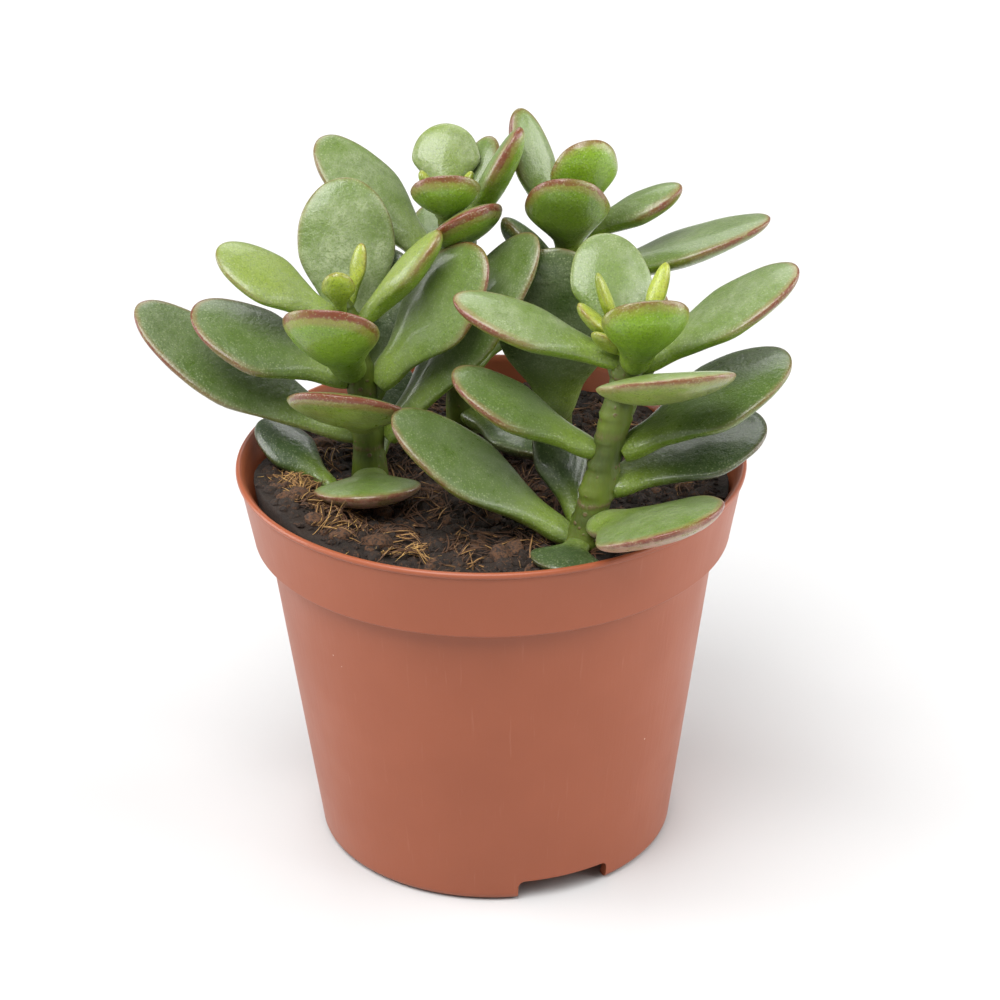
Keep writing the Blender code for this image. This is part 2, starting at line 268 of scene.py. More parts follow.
def plus(a, b):
    return math_node("ADD", a, b)


def minus(a, b):
    return math_node("SUBTRACT", a, b)


def times(*factors):
    return reduce(lambda a, b: math_node("MULTIPLY", a, b), factors)


def shade(value, factor):
    """A plain colour made darker, or paler up to white."""
    return tuple(min(1.0, c * factor) for c in value)


def mix(factor, a, b):
    """Colour a where factor is 0 and colour b where it is 1. A plain colour is three numbers."""
    a, b = (c if isinstance(c, bpy.types.NodeSocket) else (*c, 1.0) for c in (a, b))
    return made("ShaderNodeMix", {0: factor, 6: a, 7: b}, 2, data_type="RGBA")


def step(value, low, high, to_low=0.0, to_high=1.0):
    """The value's place between low and high, eased at both ends."""
    inputs = {"Value": value, "From Min": low, "From Max": high, "To Min": to_low, "To Max": to_high}
    return made("ShaderNodeMapRange", inputs, "Result", interpolation_type="SMOOTHSTEP")


def noise(at, size, detail=2.0, roughness=0.5):
    """Noise whose swellings are about size metres apart."""
    inputs = {"Vector": at, "Scale": 1.0 / size, "Detail": detail, "Roughness": roughness}
    return made("ShaderNodeTexNoise", inputs, "Fac")


def dots(at, size):
    """Distance to the nearest of scattered points about size metres apart, in shares of size."""
    return made("ShaderNodeTexVoronoi", {"Vector": at, "Scale": 1.0 / size}, "Distance")


def stretched(at, scale):
    return made("ShaderNodeMapping", {"Vector": at, "Scale": scale})


def bump(height, distance, normal=None):
    inputs = {"Height": height, "Distance": distance, "Strength": 1.0}
    if normal:
        inputs["Normal"] = normal
    return made("ShaderNodeBump", inputs)


def parts_of(vector):
    """A vector's three numbers."""
    return made("ShaderNodeSeparateXYZ", {"Vector": vector}).node.outputs


def new_material(name):
    """(material, object coordinates)"""
    material = bpy.data.materials.new(name)
    material.use_nodes = True
    return material, add(material.node_tree, "ShaderNodeTexCoord").outputs["Object"]


def attribute(material, name, output="Fac"):
    return add(material.node_tree, "ShaderNodeAttribute", attribute_name=name).outputs[output]


def paint(material, inputs):
    """The material, with its shader's inputs linked or set."""
    wire(material.node_tree.nodes["Principled BSDF"], inputs)
    return material


# ---------------- materials


def leaf_material():
    """Waxy skin that is red along the margin, greyed by bloom above, brighter green below with some painted
    light shining through, and darker with painted shade where its tone is low.
    """
    look = bpy.context.scene.jade_leaf
    material, at = new_material("jade_leaf_skin")
    along, inward, face = parts_of(attribute(material, "leaf_place", "Vector"))
    tone, blush, bloom = parts_of(attribute(material, "leaf_look", "Vector"))
    flush = attribute(material, "leaf_flush")
    broad = noise(at, 7 * MM, 3)
    patchy = noise(at, 1.8 * MM, 4, 0.65)
    fine = noise(at, 0.35 * MM, 3, 0.65)
    above = step(face, -0.15, 0.2)

    # Painted shade: a low tone darkens a leaf towards the old leaf colour, both for old leaves and for
    # leaves that lie in shade.
    top = mix(step(tone, 0.0, 0.5), look.shaded, look.upper)
    top = mix(step(tone, 0.5, 1.0), top, look.young)
    # The underside's brighter, more saturated green is partly its own colour and partly painted light
    # shining through the leaf.
    under = mix(step(tone, 0.0, 0.5), look.shaded, look.under)
    under = mix(step(tone, 0.6, 1.0, 0.0, 0.6), under, look.young)
    base = mix(above, under, top)
    # A leaf is yellower and paler towards its foot, and darker in broad soft patches.
    base = mix(times(step(along, 0.42, 0.02), 0.6), base, look.foot)
    base = mix(step(broad, 0.4, 0.75, 0.0, 0.4), base, look.shaded)

    wax = times(step(broad, 0.32, 0.62, 0.2, 1.1), bloom, step(patchy, 0.25, 0.7, 0.45, 1.0))
    wax = times(wax, step(fine, 0.35, 0.65, 0.3, 1.15), step(above, 0.2, 1.0, 0.1, 1.0))
    base = mix(wax, base, look.bloom)
    pink = times(step(face, 0.35, -0.2), flush, step(patchy, 0.25, 0.65, 0.4, 1.0))
    base = mix(pink, base, look.flush)

    # Fine dark grain between pale water pores, which are thickest near the margin.
    base = mix(step(fine, 0.45, 0.7, 0.0, 0.45), base, look.shaded)
    pore = step(dots(at, 0.46 * MM), 0.42, 0.12)
    pores = times(pore, step(patchy, 0.3, 0.6, 0.25, 1.0), step(inward, 0.9, 0.0, 0.16, 0.32))
    base = mix(pores, base, look.pore)

    # The margin is a thin dark line that frays inwards, wide only where the blush is strong.
    frayed = plus(times(minus(patchy, 0.5), 0.14), times(minus(broad, 0.5), 0.2))
    place = plus(inward, frayed)
    wide = step(blush, 0.2, 1.0, 0.04, 0.24)
    strength = times(step(blush, 0.0, 0.6, 0.1, 1.0), step(along, 0.3, 0.8))
    strength = times(strength, step(broad, 0.3, 0.55, 0.45, 1.0))
    base = mix(times(step(minus(place, wide), 0.14, -0.04), strength, 0.5), base, look.halo)
    red = times(step(minus(place, times(wide, 0.4)), 0.03, -0.03), strength, 0.9)
    base = mix(red, base, mix(times(pore, 0.25), look.margin, look.pore))

    rough = plus(step(patchy, 0.3, 0.7, 0.26, 0.42), times(wax, 0.2))
    grain = bump(fine, 0.05 * MM)
    grain = bump(noise(at, 0.8 * MM, 2), 0.1 * MM, grain)
    grain = bump(patchy, 0.14 * MM, grain)
    skin = {"Base Color": base, "Roughness": rough, "Normal": grain}
    gloss = {"Specular IOR Level": 0.42, "Coat Weight": 0.3, "Coat Roughness": 0.12}
    flesh = {"Subsurface Weight": 0.1, "Subsurface Radius": (0.6, 1.0, 0.2), "Subsurface Scale": 1.4 * MM}
    return paint(material, {**skin, **gloss, **flesh})


def stem_material():
    """Green bark with brown scars where leaves joined it and corky specks."""
    look = bpy.context.scene.jade_stem
    material, at = new_material("jade_stem_bark")
    streaks = noise(stretched(at, (1.0, 1.0, 0.22)), 1.1 * MM, 4, 0.6)
    blotch = noise(at, 3.2 * MM, 3)
    base = mix(step(streaks, 0.3, 0.7), look.green, shade(look.green, 0.7))
    base = mix(step(blotch, 0.5, 0.75, 0.0, 0.35), base, look.pale)
    base = mix(times(attribute(material, "joint"), 0.55), base, look.pale)
    specks = times(step(dots(at, 1.5 * MM), 0.34, 0.2), step(blotch, 0.48, 0.6))
    scars = times(attribute(material, "scar"), step(streaks, 0.3, 0.6))
    corky = math_node("MAXIMUM", specks, scars)
    base = mix(corky, base, look.brown)
    rough = step(streaks, 0.3, 0.7, 0.4, 0.62)
    grain = bump(corky, 0.12 * MM, bump(streaks, 0.15 * MM))
    flesh = {"Subsurface Weight": 0.08, "Subsurface Scale": 1 * MM}
    return paint(material, {"Base Color": base, "Roughness": rough, "Normal": grain, **flesh})


def pot_material():
    """Moulded plastic with faint upright streaks, a few pale specks and a satin face."""
    look = bpy.context.scene.jade_pot
    streak_colour, speck_colour = (0.55, 0.25, 0.17), (0.75, 0.6, 0.5)
    material, at = new_material("moulded_pot")
    x, y, z = parts_of(made("ShaderNodeMapping", {"Vector": at, "Location": -AXIS}))
    unrolled = made("ShaderNodeCombineXYZ", {0: times(math_node("ARCTAN2", y, x), 0.04), 1: z})
    cloud = noise(at, 16 * MM, 3)
    streak = noise(stretched(unrolled, (1.0, 0.06, 1.0)), 0.9 * MM, 3, 0.6)
    base = mix(step(cloud, 0.3, 0.7), look.plastic, shade(look.plastic, 0.95))
    base = mix(step(streak, 0.62, 0.8, 0.0, 0.16), base, streak_colour)
    speck = times(step(dots(at, 7 * MM), 0.03, 0.015), step(cloud, 0.5, 0.55), 0.6)
    base = mix(speck, base, speck_colour)
    rough = plus(step(cloud, 0.3, 0.7, 0.34, 0.42), times(streak, 0.08))
    grain = bump(streak, 0.02 * MM, bump(noise(at, 0.35 * MM, 2), 0.012 * MM))
    inputs = {"Base Color": base, "Roughness": rough, "Normal": grain, "Specular IOR Level": 0.5}
    return paint(material, inputs)


def soil_material(name, light):
    """Peat. Light is the share of it that is paler, as in broken crumbs of bark."""
    look = bpy.context.scene.jade_soil
    bark = (0.1, 0.045, 0.02)
    material, at = new_material(name)
    clod = noise(at, 3.5 * MM, 4, 0.65)
    grain = noise(at, 0.6 * MM, 4, 0.7)
    base = mix(step(clod, 0.35, 0.7), shade(look.peat, 0.5), look.peat)
    base = mix(step(grain, 0.68 - light, 0.86 - light), base, bark)
    rough = step(grain, 0.3, 0.7, 0.75, 0.95)
    return paint(material, {"Base Color": base, "Roughness": rough, "Normal": bump(grain, 0.35 * MM)})


def coir_material(name, main, other):
    material, at = new_material(name)
    fine = noise(at, 0.8 * MM, 3)
    base = mix(step(noise(at, 4 * MM, 3), 0.4, 0.6), other, main)
    base = mix(step(fine, 0.5, 0.8, 0.0, 0.35), base, shade(main, 1.5))
    return paint(material, {"Base Color": base, "Roughness": step(fine, 0.3, 0.7, 0.5, 0.75)})


def floor_material():
    material, at = new_material("studio_floor")
    near = bpy.context.scene.jade_studio.floor
    out = made("ShaderNodeVectorMath", {0: at}, "Value", operation="LENGTH")
    base = mix(step(out, 0.12, 0.6), near, shade(near, 1.5))
    return paint(material, {"Base Color": base, "Roughness": 0.8})


# ---------------- mesh helpers


def merged(node):
    """A CAD node's mesh as a bmesh with its doubled points made one."""
    bm = bmesh.new()
    bm.from_mesh(frame["nodes"][node].data)
    bmesh.ops.remove_doubles(bm, verts=bm.verts, dist=0.001 * MM)
    bm.verts.index_update()
    return bm


def put(name, data):
    """A new object in the scene."""
    obj = bpy.data.objects.new(name, data)
    bpy.context.scene.collection.objects.link(obj)
    return obj


def object_from(name, points, faces):
    mesh = bpy.data.meshes.new(name)
    mesh.from_pydata([tuple(p) for p in points], [], faces)
    mesh.shade_smooth()
    return put(name, mesh)


def ring_faces(rings, sides, start=0):
    """Quads between successive rings, wound to face out when rings run up and points run left."""
    faces = []
    for i in range(rings - 1):
        low, high = start + i * sides, start + (i + 1) * sides
        for k in range(sides):
            after = (k + 1) % sides
            faces.append((low + k, low + after, high + after, high + k))
    return faces


def capped_rings(points, rings, sides):
    """Faces of a closed skin whose points are a foot, rings from foot to tip, and a tip."""
    tip = len(points) - 1
    last = 1 + (rings - 1) * sides
    faces = ring_faces(rings, sides, 1)
    faces += [(0, 1 + (k + 1) % sides, 1 + k) for k in range(sides)]
    faces += [(tip, last + k, last + (k + 1) % sides) for k in range(sides)]
    return faces


def face_outwards(mesh):
    bm = bmesh.new()
    bm.from_mesh(mesh)
    bmesh.ops.remove_doubles(bm, verts=bm.verts, dist=0.0005 * MM)
    bmesh.ops.recalc_face_normals(bm, faces=bm.faces)
    bm.to_mesh(mesh)
    bm.free()


def set_numbers(mesh, name, values):
    values = np.asarray(values, np.float32)
    kind = "FLOAT_VECTOR" if values.ndim == 2 else "FLOAT"
    layer = mesh.attributes.new(name, kind, "POINT")
    layer.data.foreach_set("vector" if values.ndim == 2 else "value", values.ravel())


def settle(obj):
    """Turns what the modifiers make into a plain mesh, and removes them."""
    graph = bpy.context.evaluated_depsgraph_get()
    solved = obj.evaluated_get(graph)
    keep = {"preserve_all_data_layers": True, "depsgraph": graph}
    mesh = bpy.data.meshes.new_from_object(solved, **keep)
    obj.modifiers.clear()
    obj.data = mesh
    return obj


def keep_within(obj, box):
    """Squeezes a piece that reaches past the box back into it, most at its far end."""
    points = np.array([v.co for v in obj.data.vertices])
    low, high = points.min(axis=0), points.max(axis=0)
    middle = (low + high) / 2
    for far, limit, way in ((low, np.array(box[0]), -1), (high, np.array(box[1]), 1)):
        for axis in np.nonzero((far - limit) * way > 0)[0]:
            out = points[:, axis] - middle[axis]
            share = (limit[axis] - middle[axis]) / (far[axis] - middle[axis])
            points[:, axis] = middle[axis] + np.where(out * way > 0, out * share, out)
    obj.data.vertices.foreach_set("co", points.ravel())
    obj.data.update()


def hand_over(obj, slot, *nodes):
    """Lets the piece stand for its CAD nodes and ride on the plant's one body."""
    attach(obj, BODY)
    if nodes:
        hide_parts(*nodes)


def spline(values, places, odd=False):
    """A smooth curve through evenly spaced values, read at places. Odd values change sign past the ends."""
    values = np.asarray(values, float)
    sign = -1.0 if odd else 1.0
    padded = np.concatenate([sign * values[1:2], values, sign * values[-2:-1]])
    places = np.asarray(places, float)
    i = np.minimum(places.astype(int), len(values) - 2)
    f = places - i
    if values.ndim == 2:
        f = f[:, None]
    a, b, c, d = (padded[i + k] for k in range(4))
    return b + 0.5 * f * (c - a + f * (2 * a - 5 * b + 4 * c - d + f * (3 * (b - c) + d - a)))


def distance_to_line(points, line):
    """How far each point lies from the nearest of a line's stretches."""
    start, along = line[:-1], np.diff(line, axis=0)
    share = ((points[:, None] - start) * along).sum(axis=2) / np.maximum((along**2).sum(axis=1), 1e-12)
    nearest = start + along * np.clip(share, 0, 1)[..., None]
    return np.linalg.norm(points[:, None] - nearest, axis=2).min(axis=1)


def on_axis(points):
    """Points given about the pot's axis, where they stand on the plant."""
    return np.asarray(points, float) + np.array(AXIS)


def unit(vectors):
    return vectors / np.maximum(np.linalg.norm(vectors, axis=-1, keepdims=True), 1e-9)


def smooth_step(x):
    x = np.clip(x, 0.0, 1.0)
    return x * x * (3.0 - 2.0 * x)


# ---------------- geometry node trees


def geometry_tree(name, **inputs):
    """(tree, input sockets) of a new tree with an input for each of these, and one for its material."""
    tree = bpy.data.node_groups.new(name, "GeometryNodeTree")
    for way in ("INPUT", "OUTPUT"):
        tree.interface.new_socket(name="Geometry", in_out=way, socket_type="NodeSocketGeometry")
    for key, value in inputs.items():
        label = key.replace("_", " ").title()
        kind = "NodeSocketInt" if isinstance(value, int) else "NodeSocketFloat"
        socket = tree.interface.new_socket(name=label, in_out="INPUT", socket_type=kind)
        socket.default_value = value
    tree.interface.new_socket(name="Material", in_out="INPUT", socket_type="NodeSocketMaterial")
    return tree, tree.nodes.new("NodeGroupInput").outputs


def end_tree(tree, geometry, material):
    """Ends a tree with plain geometry that carries the material."""
    plain = made("GeometryNodeRealizeInstances", {"Geometry": geometry})
    painted = made("GeometryNodeSetMaterial", {"Geometry": plain, "Material": material})
    add(tree, "NodeGroupOutput", {"Geometry": painted})
    return tree


def run_tree(obj, tree, **values):
    """Puts the tree on the object with its named inputs set, and settles what it makes."""
    modifier = obj.modifiers.new(tree.name, "NODES")
    modifier.node_group = tree
    for item in tree.interface.items_tree:
        key = item.name.replace(" ", "_").lower()
        if item.in_out == "INPUT" and key in values:
            modifier[item.identifier] = values[key]
    return settle(obj)


def scaled(vector, factor):
    return made("ShaderNodeVectorMath", {0: vector, "Scale": factor}, operation="SCALE")


def moved(geometry, offset):
    return made("GeometryNodeSetPosition", {"Geometry": geometry, "Offset": offset})


def skin_tree():
    """Swells and dips a smooth skin along its normals."""
    tree, given = geometry_tree("Skin", ripple=0.3 * MM, ripple_size=9.0 * MM, seed=0.0)
    place = add(tree, "GeometryNodeInputPosition").outputs[0]
    normal = add(tree, "GeometryNodeInputNormal").outputs[0]
    scale = math_node("DIVIDE", 1.0, given["Ripple Size"])
    waves = {"Vector": place, "W": given["Seed"], "Scale": scale, "Detail": 1.5}
    wave = made("ShaderNodeTexNoise", waves, "Fac", noise_dimensions="4D")
    height = times(minus(wave, 0.5), given["Ripple"], 2.0)
    skin = moved(given["Geometry"], scaled(normal, height))
    soft = made("GeometryNodeSetShadeSmooth", {"Geometry": skin, "Shade Smooth": True})
    return end_tree(tree, soft, given["Material"])


def random_value(tree, low, high, seed, kind="FLOAT"):
    first = {"FLOAT": 2, "FLOAT_VECTOR": 0}[kind]
    inputs = {first: low, first + 1: high, "Seed": seed}
    return add(tree, "FunctionNodeRandomValue", inputs, data_type=kind).outputs["Value"]


def scattered(tree, given, seed_step):
    """Points spread over the soil, as thick as its "cover" attribute says."""
    cover = add(tree, "GeometryNodeInputNamedAttribute", {"Name": "cover"}, data_type="FLOAT")
    density = times(cover.outputs["Attribute"], given["Density"])
    seed = plus(given["Seed"], float(seed_step))
    inputs = {"Mesh": given["Geometry"], "Density": density, "Seed": seed}
    return made("GeometryNodeDistributePointsOnFaces", inputs)


def planted(points, instance, turn, scale):
    """Copies of the instance on the points, as plain geometry."""
    inputs = {"Points": points, "Instance": instance, "Rotation": turn, "Scale": scale}
    copies = made("GeometryNodeInstanceOnPoints", inputs)
    return made("GeometryNodeRealizeInstances", {"Geometry": copies})


def jostled(geometry, scale, detail, mean, reach):
    """The geometry pushed about by noise, from which its mean is taken."""
    place = add(geometry.id_data, "GeometryNodeInputPosition").outputs[0]
    push = made("ShaderNodeTexNoise", {"Vector": place, "Scale": scale, "Detail": detail}, "Color")
    push = made("ShaderNodeVectorMath", {0: push, 1: mean}, operation="SUBTRACT")
    return moved(geometry, scaled(push, reach))


def crumb_tree():
    """Broken lumps strewn over the soil."""
    sizes = {"smallest": 0.4 * MM, "largest": 1.6 * MM}
    tree, given = geometry_tree("Crumbs", density=100.0, **sizes, seed=0)
    lump = add(tree, "GeometryNodeMeshIcoSphere", {"Radius": 1.0, "Subdivisions": 2}).outputs[0]
    share = math_node("POWER", random_value(tree, 0.0, 1.0, 3), 2.5)
    size = plus(times(share, minus(given["Largest"], given["Smallest"])), given["Smallest"])
    squash = random_value(tree, (0.6, 0.6, 0.35), (1.3, 1.3, 1.0), 5, "FLOAT_VECTOR")
    turn = random_value(tree, (-0.6, -0.6, 0.0), (0.6, 0.6, 6.28), 7, "FLOAT_VECTOR")
    lumps = planted(scattered(tree, given, 0), lump, turn, scaled(squash, size))
    broken = jostled(lumps, 900.0, 2.0, (0.5, 0.5, 0.5), 1.1 * MM)
    return end_tree(tree, broken, given["Material"])


def fibre_tree():
    """Curled strands lying on the soil."""
    sizes = {"shortest": 4 * MM, "longest": 16 * MM, "thickness": 0.16 * MM}
    tree, given = geometry_tree("Fibres", density=100.0, **sizes, rise=0.35, seed=0)
    ends = {"Start": (-0.5, 0.0, 0.0), "End": (0.5, 0.0, 0.0)}
    line = add(tree, "GeometryNodeCurvePrimitiveLine", ends).outputs[0]
    line = made("GeometryNodeResampleCurve", {"Curve": line, "Count": 10})
    long = random_value(tree, given["Shortest"], given["Longest"], 13)
    tilt = random_value(tree, times(given["Rise"], -1.0), given["Rise"], 17)
    turn = made("ShaderNodeCombineXYZ", {1: tilt, 2: random_value(tree, 0.0, 6.28, 19)})
    scale = made("ShaderNodeCombineXYZ", {0: long, 1: long, 2: long})
    strands = planted(scattered(tree, given, 11), line, turn, scale)
    strands = jostled(strands, 90.0, 1.0, (0.5, 0.5, 0.42), 8 * MM)
    along = add(tree, "GeometryNodeSplineParameter").outputs["Factor"]
    taper = step(math_node("ABSOLUTE", minus(along, 0.5)), 0.5, 0.2, 0.35, 1.0)
    ring = add(tree, "GeometryNodeCurvePrimitiveCircle", {"Resolution": 4, "Radius": 1.0}).outputs[0]
    inputs = {"Curve": strands, "Profile Curve": ring, "Fill Caps": True}
    inputs["Scale"] = times(taper, given["Thickness"])
    return end_tree(tree, made("GeometryNodeCurveToMesh", inputs), given["Material"])


# ---------------- stems


def section(bm, height):
    """(middle, radius) of the cut that a level plane makes."""
    cuts = []
    for edge in bm.edges:
        a, b = (v.co for v in edge.verts)
        if (a.z - height) * (b.z - height) < 0:
            cuts.append(a.lerp(b, (height - a.z) / (b.z - a.z)))
    middle = sum(cuts, Vector()) / len(cuts)
    return middle, sum((c - middle).length for c in cuts) / len(cuts)


def joints_on(stem):
    """Heights where leaves join a stem, each given once."""
    names = [name for name in frame["nodes"] if name.startswith(f"{stem}_leaf_")]
    heights = sorted(leaf_shape(name)["middle"][0][2] for name in names)
    least = 7.0 * MM
    apart = [heights[0]]
    for height in heights[1:]:
        if height - apart[-1] > least:
            apart.append(height)
    return apart


def make_stem(stem, material, tree):
    """A stem that swells at each pair of leaves, where it is ringed by a scar."""
    look = bpy.context.scene.jade_stem
    node = f"{stem}_stem"
    low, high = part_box(node)
    bm = merged(node)
    knuckles = joints_on(stem)
    rings, sides = 90, 28
    edge = 0.02 * (high.z - low.z)
    bottom = low.z - look.root_depth
    joint_reach, scar_drop, scar_reach = 3.2 * MM, 2.4 * MM, 0.3 * MM
    flare, flare_reach, scar_depth = 0.5 * MM, 2.5 * MM, 0.05 * MM
    points, scars, nearness = [], [], []
    around = np.linspace(0, 2 * math.pi, sides, endpoint=False)
    for i in range(rings):
        height = bottom + (high.z - bottom) * math.sin(math.pi / 2 * i / rings)
        middle, radius = section(bm, min(max(height, low.z + edge), high.z - edge / 4))
        middle.z = height
        near = max(math.exp(-(((height - z) / joint_reach) ** 2)) for z in knuckles)
        scar = max(math.exp(-(((height - z + scar_drop) / scar_reach) ** 2)) for z in knuckles)
        radius += near * look.knuckle - scar_depth * scar
        radius += flare * math.exp(-max(height - low.z, 0.0) / flare_reach)
        oval = 0.03 * np.sin(2 * around + height * 90)
        reach = radius * (1.0 + oval + 0.012 * np.sin(5 * around - height * 60))
        ring = np.stack([reach * np.cos(around), reach * np.sin(around), 0 * around], axis=1)
        points.extend(ring + np.array(middle))
        scars.extend([scar] * sides)
        nearness.extend([near] * sides)
    bm.free()
    foot = np.mean(points[:sides], axis=0)
    tip = np.mean(points[-sides:], axis=0) + (0, 0, 0.1 * MM)
    points = [foot, *points, tip]
    obj = object_from(f"{stem}_stem_bark", points, capped_rings(points, rings, sides))
    set_numbers(obj.data, "scar", [0.0, *scars, 0.0])
    set_numbers(obj.data, "joint", [0.0, *nearness, 0.0])
    ripples = {"ripple": 0.06 * MM, "ripple_size": 5.0 * MM, "seed": float(STEMS.index(stem))}
    run_tree(obj, tree, material=material, **ripples)
    hand_over(obj, "stem", node)
    return obj


# ---------------- leaves


def leaf_levels(bm, stem_points):
    """The CAD leaf's points level by level, from the pole at its foot to the pole at its tip."""
    poles = sorted(bm.verts, key=lambda v: (len(v.link_edges), v.index))[-2:]
    foot = min(poles, key=lambda v: np.linalg.norm(stem_points - np.array(v.co), axis=1).min())
    levels, seen, level = [], {foot}, [foot]
    while level:
        levels.append(np.array([v.co for v in level]))
        after = {e.other_vert(v) for v in level for e in v.link_edges} - seen
        seen |= after
        level = sorted(after, key=lambda v: v.index)
    return levels


def widest_pair(points):
    apart = np.linalg.norm(points[:, None] - points[None], axis=2)
    a, b = np.unravel_index(apart.argmax(), apart.shape)
    return points[a], points[b]


@cache
def leaf_shape(node):
    """What the CAD leaf measures at each level: its middle, side, face, half width and two depths."""
    stem = frame["nodes"][node.split("_")[0] + "_stem"]
    stem_points = np.array([v.co for v in stem.data.vertices])
    bm = merged(node)
    levels = leaf_levels(bm, stem_points)
    bm.free()
    count = len(levels)
    widest = int(np.argmax([np.linalg.norm(np.ptp(level, axis=0)) for level in levels]))
    edges = [None] * count
    edges[widest] = widest_pair(levels[widest])
    for direction in (-1, 1):
        i = widest + direction
        while 0 < i < count - 1:
            side = edges[i - direction][0] - edges[i - direction][1]
            reach = levels[i] @ side
            edges[i] = (levels[i][reach.argmax()], levels[i][reach.argmin()])
            i += direction
    edges[0] = (levels[0][0],) * 2
    edges[-1] = (levels[-1][0],) * 2
    middle = np.array([(a + b) / 2 for a, b in edges])
    half = np.array([np.linalg.norm(a - b) / 2 for a, b in edges])
    side = np.array([a - b for a, b in edges])
    side[0], side[-1] = side[1], side[-2]
    side = unit(side)
    forward = unit(np.gradient(middle, axis=0))
    face = unit(np.cross(side, forward))
    if face[widest][2] < 0:
        face, side = -face, -side
    depth = 0.934  # the CAD ring's highest point stands at this share of the full depth
    upper, lower = np.zeros(count), np.zeros(count)
    for i in range(1, count - 1):
        rise = (levels[i] - middle[i]) @ face[i]
        upper[i], lower[i] = rise.max() / depth, -rise.min() / depth
    shape = {"middle": middle, "side": side, "face": face, "forward": forward}
    return {**shape, "half": half, "upper": upper, "lower": lower}


def make_leaf(node, number, material, tree):
    """A fine skin over the CAD leaf, blunt along its margin and run on into the stem at its foot."""
    look = bpy.context.scene.jade_leaf
    looks = LOOKS.get(node) or LOOKS_BY_NUMBER[int(node.split("_leaf_")[1][0])]
    shape = leaf_shape(node)
    rings, sides = 40, 44
    widest = shape["half"].max()
    full_neck, full_ripple, full_bead = 9 * MM, 8 * MM, 6 * MM  # half widths at which these are full
    foot_end, neck_end, blade_start = 0.16, 0.24, 0.35  # shares of the leaf's length
    levels = len(shape["half"]) - 1
    places = np.arange(1, rings) * levels / rings
    t = (1 - np.cos(math.pi * places / levels)) / 2
    middle = spline(shape["middle"], places)
    half = np.maximum(spline(shape["half"], places, odd=True), 0)
    upper = spline(shape["upper"], places, odd=True)
    lower = spline(shape["lower"], places, odd=True)
    side = unit(spline(shape["side"], places))
    face = unit(spline(shape["face"], places))
    forward = shape["forward"][0]
    pull = (look.reach * np.clip(1 - t / foot_end, 0, 1) ** 1.5)[:, None]
    middle = middle - forward * pull
    neck = look.neck * min(1.0, widest / full_neck) * (1 - smooth_step(t / neck_end))
    half = np.hypot(half * (1 - look.waist * (1 - smooth_step((t - 0.1) / 0.45))), neck)
    upper = np.hypot(upper, 0.65 * neck)
    lower = np.hypot(lower, 0.9 * neck)

    around = 2 * math.pi * np.arange(sides) / sides
    blade = smooth_step(t / blade_start)[:, None]
    across, lift = np.cos(around)[None], np.sin(around)[None]
    rise = np.abs(lift) ** (1.0 + 0.25 * blade)
    bead = look.bead * blade * np.minimum(half / full_bead, 1)[:, None]
    bead = bead * np.abs(lift) ** 0.7 * np.exp(-((lift / 0.42) ** 2))
    height = np.where(lift > 0, upper[:, None] * rise + bead, -(lower[:, None] * rise + bead))
    flat = middle[:, None] + side[:, None] * (half[:, None] * across)[..., None]
    points = (flat + face[:, None] * height[..., None]).reshape(-1, 3)
    foot = shape["middle"][0] - forward * look.reach
    points = np.concatenate([[foot], points, [shape["middle"][-1]]])

    obj = object_from(node + "_skin", points, capped_rings(points, rings - 1, sides))
    face_outwards(obj.data)
    reach = side * half[:, None]
    outline = np.concatenate([middle - reach, shape["middle"][-1:], (middle + reach)[::-1]])
    inward = distance_to_line(flat.reshape(-1, 3), outline).reshape(rings - 1, sides)
    inward = np.clip(inward / RIM_REACH, 0, 1)
    place = np.stack(np.broadcast_arrays(t[:, None], inward, looks.turned * lift), axis=2)
    place = np.concatenate([[(0.0, 1.0, 0.0)], place.reshape(-1, 3), [(1.0, 0.0, 0.0)]])
    set_numbers(obj.data, "leaf_place", place)
    ones = np.ones(len(points))
    set_numbers(obj.data, "leaf_look", np.outer(ones, (looks.tone, looks.blush, looks.bloom)))
    set_numbers(obj.data, "leaf_flush", ones * looks.flush)
    ripples = {"ripple": look.ripple * min(1.0, widest / full_ripple), "ripple_size": look.ripple_size}
    run_tree(obj, tree, seed=number * 0.37, material=material, **ripples)
    keep_within(obj, CAD_BOX)
    slot = next(r["material_slot"] for r in frame["record"]["subparts"] if r["node"] == node)
    hand_over(obj, slot, node)
    return obj


# ---------------- pot and soil


def rounding(centre, radius, start, end, steps):
    angles = np.radians(np.linspace(start, end, steps + 1))
    return [(centre[0] + radius * math.cos(a), centre[1] + radius * math.sin(a)) for a in angles]


def turned(name, profile, sides):
    """A closed piece turned from a profile of (radius, height) points that starts and ends on the axis."""
    points = [(0.0, 0.0, profile[0][1])]
    for radius, height in profile[1:-1]:
        for k in range(sides):
            angle = 2 * math.pi * k / sides
            points.append((radius * math.cos(angle), radius * math.sin(angle), height))
    points.append((0.0, 0.0, profile[-1][1]))
    obj = object_from(name, on_axis(points), capped_rings(points, len(profile) - 2, sides))
    face_outwards(obj.data)
    return obj


